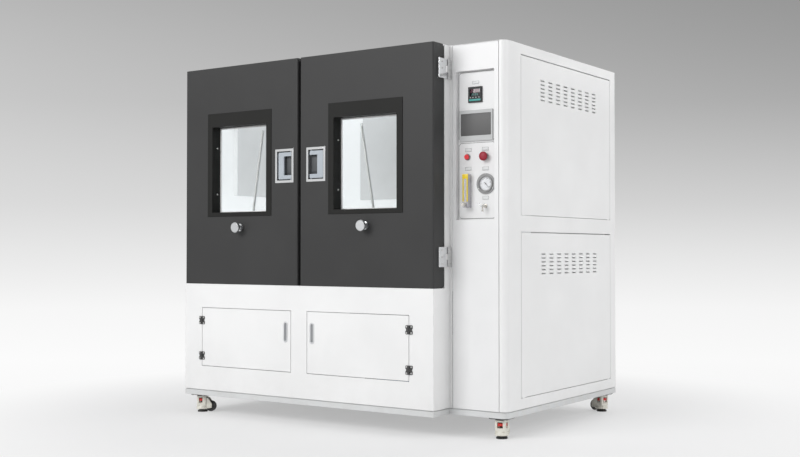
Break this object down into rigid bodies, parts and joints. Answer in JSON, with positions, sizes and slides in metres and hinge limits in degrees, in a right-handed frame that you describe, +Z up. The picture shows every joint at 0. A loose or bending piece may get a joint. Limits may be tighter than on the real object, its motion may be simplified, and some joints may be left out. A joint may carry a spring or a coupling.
{
  "type": "environmental test chamber",
  "caption": "Floor-standing two-door dust test chamber with glazed black doors, lower service hatches and a set-back control column on casters.",
  "frame": {"origin": "middle of the footprint's bounding box, on the floor", "axes": "+X to the right seen from the front, +Y to the back, +Z up; the doors and controls face -Y"},
  "size_m": [1.8684, 1.387, 1.795],
  "materials": {
    "body_paint": "satin powder coat",
    "plinth_paint": "satin powder coat",
    "door_paint": "satin",
    "frame_paint": "satin",
    "panel_paint": "satin powder coat",
    "stainless": "brushed",
    "chrome_trim": "polished",
    "paddle_cast": "satin cast zinc",
    "window_glass": "clear tempered",
    "gasket_rubber": "matte",
    "knob_black": "matte",
    "controller_black": "matte",
    "touch_bezel": "matte",
    "switch_metal": "satin",
    "red_plastic": "gloss",
    "gauge_metal": "satin",
    "clear_plastic": "clear",
    "needle_black": "matte",
    "nickel": "polished",
    "blower_steel": "satin",
    "pump_paint": "satin",
    "plate_zinc": "black zinc",
    "caster_ivory": "painted die cast",
    "caster_black": "matte nylon",
    "foot_rubber": "matte"
  },
  "bodies": {
    "cabinet": {"base_frame": "plinth_paint", "caster_plates": "plate_zinc", "casing_shell": "body_paint", "column_front_panel": "panel_paint", "side_panels": "body_paint", "rear_panel": "body_paint", "chamber_liner": "stainless", "sample_shelf": "stainless", "control_plates": "panel_paint", "temperature_controller": "controller_black", "touch_screen": "touch_bezel", "switch_collars": "switch_metal", "gauge_case": "gauge_metal", "gauge_lens": "window_glass", "flow_meter_body": "clear_plastic", "pressure_tap": "nickel", "hinge_fixed_leaves": "chrome_trim", "blower_housing": "blower_steel", "vacuum_pump": "pump_paint"},
    "left_door": {"left_door_shell": "door_paint", "left_window_frame": "frame_paint", "left_window_glass": "window_glass", "left_door_gasket": "gasket_rubber", "left_door_hardware": "chrome_trim"},
    "left_handle": {"left_handle_paddle": "paddle_cast"},
    "left_wiper_unit": {"left_wiper": "knob_black"},
    "left_hatch": {"left_hatch_panel": "body_paint", "left_hatch_fittings": "chrome_trim"},
    "right_door": {"right_door_shell": "door_paint", "right_window_frame": "frame_paint", "right_window_glass": "window_glass", "right_door_gasket": "gasket_rubber", "right_door_hardware": "chrome_trim"},
    "right_handle": {"right_handle_paddle": "paddle_cast"},
    "right_wiper_unit": {"right_wiper": "knob_black"},
    "right_hatch": {"right_hatch_panel": "body_paint", "right_hatch_fittings": "chrome_trim"},
    "start_switch": {"start_button": "red_plastic"},
    "stop_switch": {"emergency_stop": "red_plastic"},
    "flow_valve": {"flow_valve_knob": "nickel"},
    "float": {"flow_float": "nickel"},
    "needle": {"gauge_needle": "needle_black"},
    "tap_handle": {"tap_lever": "chrome_trim"},
    "impeller": {"blower_impeller": "stainless"},
    "front_left_swivel": {"front_left_caster_housing": "caster_ivory"},
    "front_left_wheel": {"front_left_caster_wheel": "caster_black"},
    "front_left_dial": {"front_left_caster_dial": "red_plastic"},
    "front_left_foot": {"front_left_caster_foot": "foot_rubber"},
    "front_right_swivel": {"front_right_caster_housing": "caster_ivory"},
    "front_right_wheel": {"front_right_caster_wheel": "caster_black"},
    "front_right_dial": {"front_right_caster_dial": "red_plastic"},
    "front_right_foot": {"front_right_caster_foot": "foot_rubber"},
    "rear_right_swivel": {"rear_right_caster_housing": "caster_ivory"},
    "rear_right_wheel": {"rear_right_caster_wheel": "caster_black"},
    "rear_right_dial": {"rear_right_caster_dial": "red_plastic"},
    "rear_right_foot": {"rear_right_caster_foot": "foot_rubber"},
    "rear_left_swivel": {"rear_left_caster_housing": "caster_ivory"},
    "rear_left_wheel": {"rear_left_caster_wheel": "caster_black"},
    "rear_left_dial": {"rear_left_caster_dial": "red_plastic"},
    "rear_left_foot": {"rear_left_caster_foot": "foot_rubber"}
  },
  "joints": [
    {"name": "left_door_hinge", "type": "hinge", "parent": "cabinet", "child": "left_door", "pos_m": [-0.92825, -0.5515, 1.249], "axis": [0, 0, -1], "range_deg": [0, 110]},
    {"name": "left_handle_pivot", "type": "hinge", "parent": "left_door", "child": "left_handle", "pos_m": [-0.20875, -0.6405, 1.267], "axis": [0, 0, 1], "range_deg": [0, 35], "stiffness_Nm_per_rad": 0.8, "springref_deg": -5.73},
    {"name": "left_wiper_turn", "type": "hinge", "parent": "left_door", "child": "left_wiper_unit", "pos_m": [-0.53575, -0.6475, 0.965], "axis": [0, 1, 0], "range_deg": [-31, 13]},
    {"name": "left_hatch_hinge", "type": "hinge", "parent": "cabinet", "child": "left_hatch", "pos_m": [-0.80225, -0.6515, 0.393], "axis": [0, 0, -1], "range_deg": [0, 110]},
    {"name": "right_door_hinge", "type": "hinge", "parent": "cabinet", "child": "right_door", "pos_m": [0.63975, -0.5515, 1.249], "axis": [0, 0, 1], "range_deg": [0, 95]},
    {"name": "right_handle_pivot", "type": "hinge", "parent": "right_door", "child": "right_handle", "pos_m": [-0.07975, -0.6405, 1.267], "axis": [0, 0, -1], "range_deg": [0, 35], "stiffness_Nm_per_rad": 0.8, "springref_deg": -5.73},
    {"name": "right_wiper_turn", "type": "hinge", "parent": "right_door", "child": "right_wiper_unit", "pos_m": [0.25375, -0.6475, 0.965], "axis": [0, 1, 0], "range_deg": [-12, 32]},
    {"name": "right_hatch_hinge", "type": "hinge", "parent": "cabinet", "child": "right_hatch", "pos_m": [0.50125, -0.6515, 0.393], "axis": [0, 0, 1], "range_deg": [0, 110]},
    {"name": "start_press", "type": "slide", "parent": "cabinet", "child": "start_switch", "axis": [0, 1, 0], "range_m": [0, 0.004], "stiffness_N_per_m": 400, "springref_m": -0.002},
    {"name": "emergency_press", "type": "slide", "parent": "cabinet", "child": "stop_switch", "axis": [0, 1, 0], "range_m": [0, 0.004]},
    {"name": "flow_valve_turn", "type": "hinge", "parent": "cabinet", "child": "flow_valve", "pos_m": [0.72325, -0.5195, 1.056], "axis": [0, -1, 0], "range_deg": [0, 720]},
    {"name": "float_rise", "type": "slide", "parent": "cabinet", "child": "float", "axis": [0, 0, 1], "range_m": [0, 0.0934]},
    {"name": "gauge_swing", "type": "hinge", "parent": "cabinet", "child": "needle", "pos_m": [0.81575, -0.4895, 1.1505], "axis": [0, -1, 0], "range_deg": [0, 270], "stiffness_Nm_per_rad": 0.01},
    {"name": "tap_turn", "type": "hinge", "parent": "cabinet", "child": "tap_handle", "pos_m": [0.81275, -0.5235, 1.05], "axis": [0, 1, 0], "range_deg": [0, 90]},
    {"name": "impeller_spin", "type": "hinge", "parent": "cabinet", "child": "impeller", "pos_m": [-0.14425, 0.0525, 0.385], "axis": [0, 0, 1], "continuous": true},
    {"name": "front_left_caster_swivel", "type": "hinge", "parent": "cabinet", "child": "front_left_swivel", "pos_m": [-0.85425, -0.5875, 0.095], "axis": [0, 0, 1], "continuous": true},
    {"name": "front_left_wheel_roll", "type": "hinge", "parent": "front_left_swivel", "child": "front_left_wheel", "pos_m": [-0.81363, -0.5659, 0.0295], "axis": [-0.4695, 0.8829, 0], "continuous": true},
    {"name": "front_left_dial_turn", "type": "hinge", "parent": "front_left_swivel", "child": "front_left_dial", "pos_m": [-0.85425, -0.5875, 0.058], "axis": [0, 0, 1], "range_deg": [0, 360]},
    {"name": "front_left_foot_lift", "type": "slide", "parent": "front_left_swivel", "child": "front_left_foot", "axis": [0, 0, 1], "range_m": [0, 0.003]},
    {"name": "front_right_caster_swivel", "type": "hinge", "parent": "cabinet", "child": "front_right_swivel", "pos_m": [0.87775, -0.4575, 0.095], "axis": [0, 0, 1], "continuous": true},
    {"name": "front_right_wheel_roll", "type": "hinge", "parent": "front_right_swivel", "child": "front_right_wheel", "pos_m": [0.86976, -0.4122, 0.0295], "axis": [-0.9848, -0.1736, 0], "continuous": true},
    {"name": "front_right_dial_turn", "type": "hinge", "parent": "front_right_swivel", "child": "front_right_dial", "pos_m": [0.87775, -0.4575, 0.058], "axis": [0, 0, 1], "range_deg": [0, 360]},
    {"name": "front_right_foot_lift", "type": "slide", "parent": "front_right_swivel", "child": "front_right_foot", "axis": [0, 0, 1], "range_m": [0, 0.003]},
    {"name": "rear_right_caster_swivel", "type": "hinge", "parent": "cabinet", "child": "rear_right_swivel", "pos_m": [0.87775, 0.6105, 0.095], "axis": [0, 0, 1], "continuous": true},
    {"name": "rear_right_wheel_roll", "type": "hinge", "parent": "rear_right_swivel", "child": "rear_right_wheel", "pos_m": [0.83452, 0.62623, 0.0295], "axis": [-0.342, -0.9397, 0], "continuous": true},
    {"name": "rear_right_dial_turn", "type": "hinge", "parent": "rear_right_swivel", "child": "rear_right_dial", "pos_m": [0.87775, 0.6105, 0.058], "axis": [0, 0, 1], "range_deg": [0, 360]},
    {"name": "rear_right_foot_lift", "type": "slide", "parent": "rear_right_swivel", "child": "rear_right_foot", "axis": [0, 0, 1], "range_m": [0, 0.003]},
    {"name": "rear_left_caster_swivel", "type": "hinge", "parent": "cabinet", "child": "rear_left_swivel", "pos_m": [-0.85425, 0.6105, 0.095], "axis": [0, 0, 1], "continuous": true},
    {"name": "rear_left_wheel_roll", "type": "hinge", "parent": "rear_left_swivel", "child": "rear_left_wheel", "pos_m": [-0.88949, 0.64007, 0.0295], "axis": [-0.6428, -0.766, 0], "continuous": true},
    {"name": "rear_left_dial_turn", "type": "hinge", "parent": "rear_left_swivel", "child": "rear_left_dial", "pos_m": [-0.85425, 0.6105, 0.058], "axis": [0, 0, 1], "range_deg": [0, 360]},
    {"name": "rear_left_foot_lift", "type": "slide", "parent": "rear_left_swivel", "child": "rear_left_foot", "axis": [0, 0, 1], "range_m": [0, 0.003]}
  ],
  "couplings": [
    {"joint": "front_left_foot_lift", "follows": "front_left_dial_turn", "m_per_rad": 0.00047746},
    {"joint": "front_right_foot_lift", "follows": "front_right_dial_turn", "m_per_rad": 0.00047746},
    {"joint": "rear_right_foot_lift", "follows": "rear_right_dial_turn", "m_per_rad": 0.00047746},
    {"joint": "rear_left_foot_lift", "follows": "rear_left_dial_turn", "m_per_rad": 0.00047746}
  ]
}
